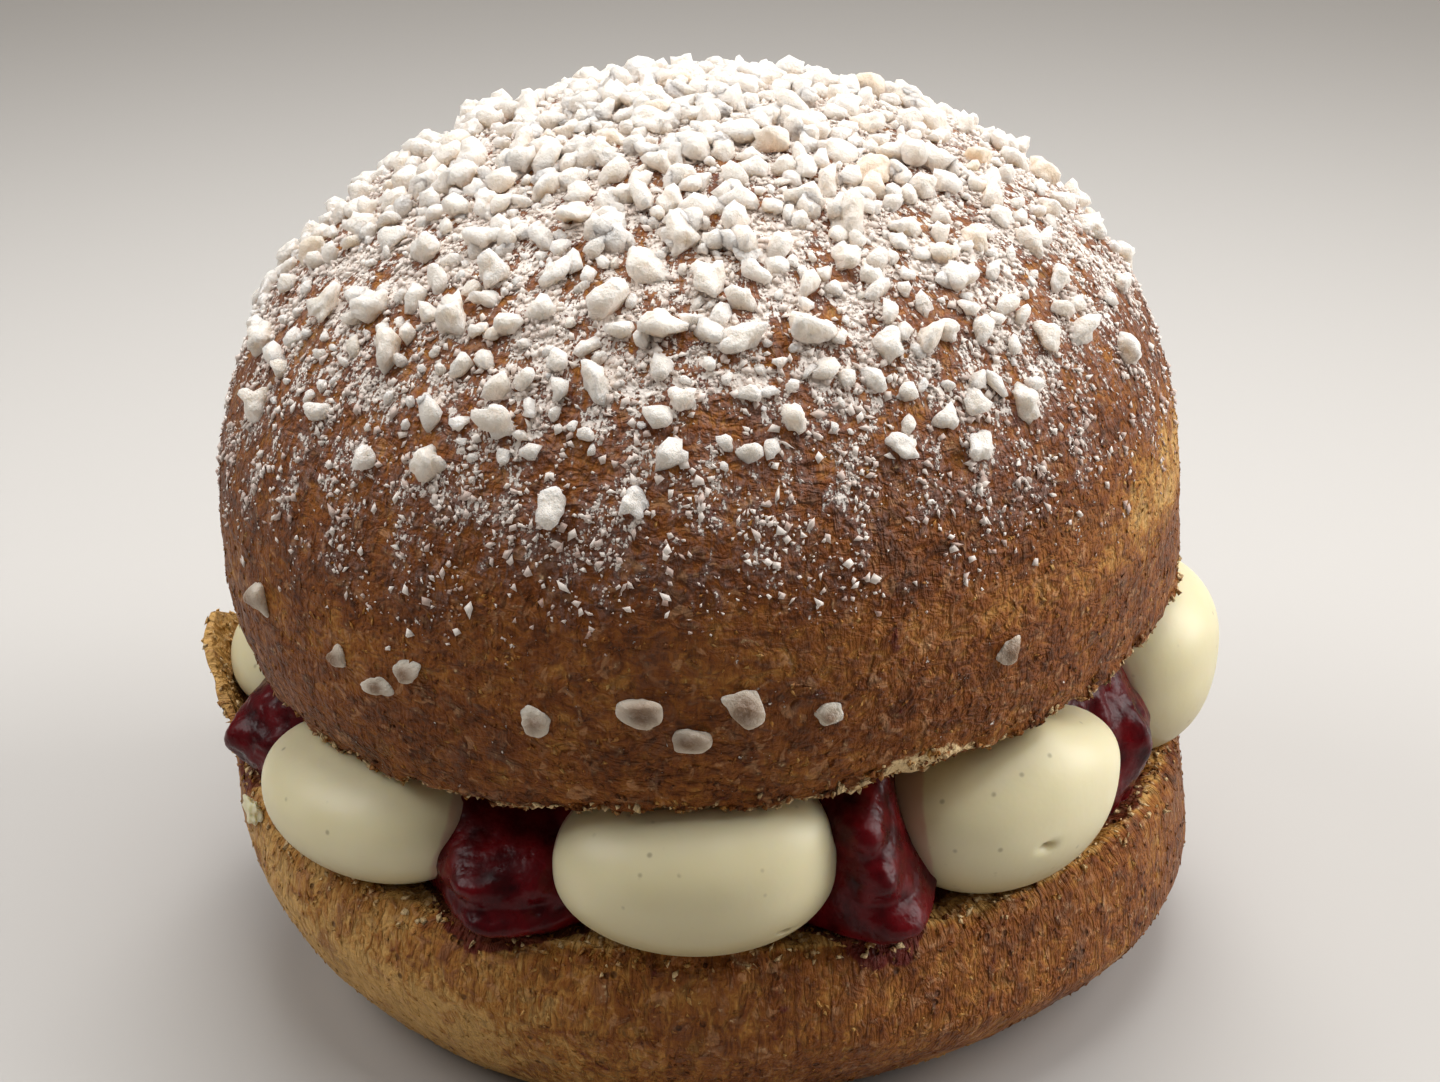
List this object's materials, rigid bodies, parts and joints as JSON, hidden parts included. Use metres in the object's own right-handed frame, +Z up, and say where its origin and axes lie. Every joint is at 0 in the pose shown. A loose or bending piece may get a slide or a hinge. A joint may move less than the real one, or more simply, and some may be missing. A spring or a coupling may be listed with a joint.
{
  "type": "brioche bun",
  "caption": "Round brioche bun, split and filled with a ring of piped vanilla cream balls and red jam, its tall dome strewn with pearl sugar and icing sugar.",
  "frame": {"origin": "middle of the flat underside", "axes": "+Z up, -Y towards the side that shows, +X to that side's right"},
  "size_m": [0.1046, 0.1027, 0.0899],
  "materials": {
    "crust": "baked brown crust, satin, with opaque white pearl sugar and icing sugar on the dome",
    "cream": "smooth pale ivory cream, satin, with tiny dark vanilla specks",
    "jam": "dark red jam, glossy and lumpy"
  },
  "bodies": {
    "root": {"bun_base": "crust", "bun_top": "crust", "jam": "jam", "cream_1": "cream", "cream_2": "cream", "cream_3": "cream", "cream_4": "cream", "cream_5": "cream", "cream_6": "cream", "cream_7": "cream", "cream_8": "cream"}
  },
  "joints": []
}
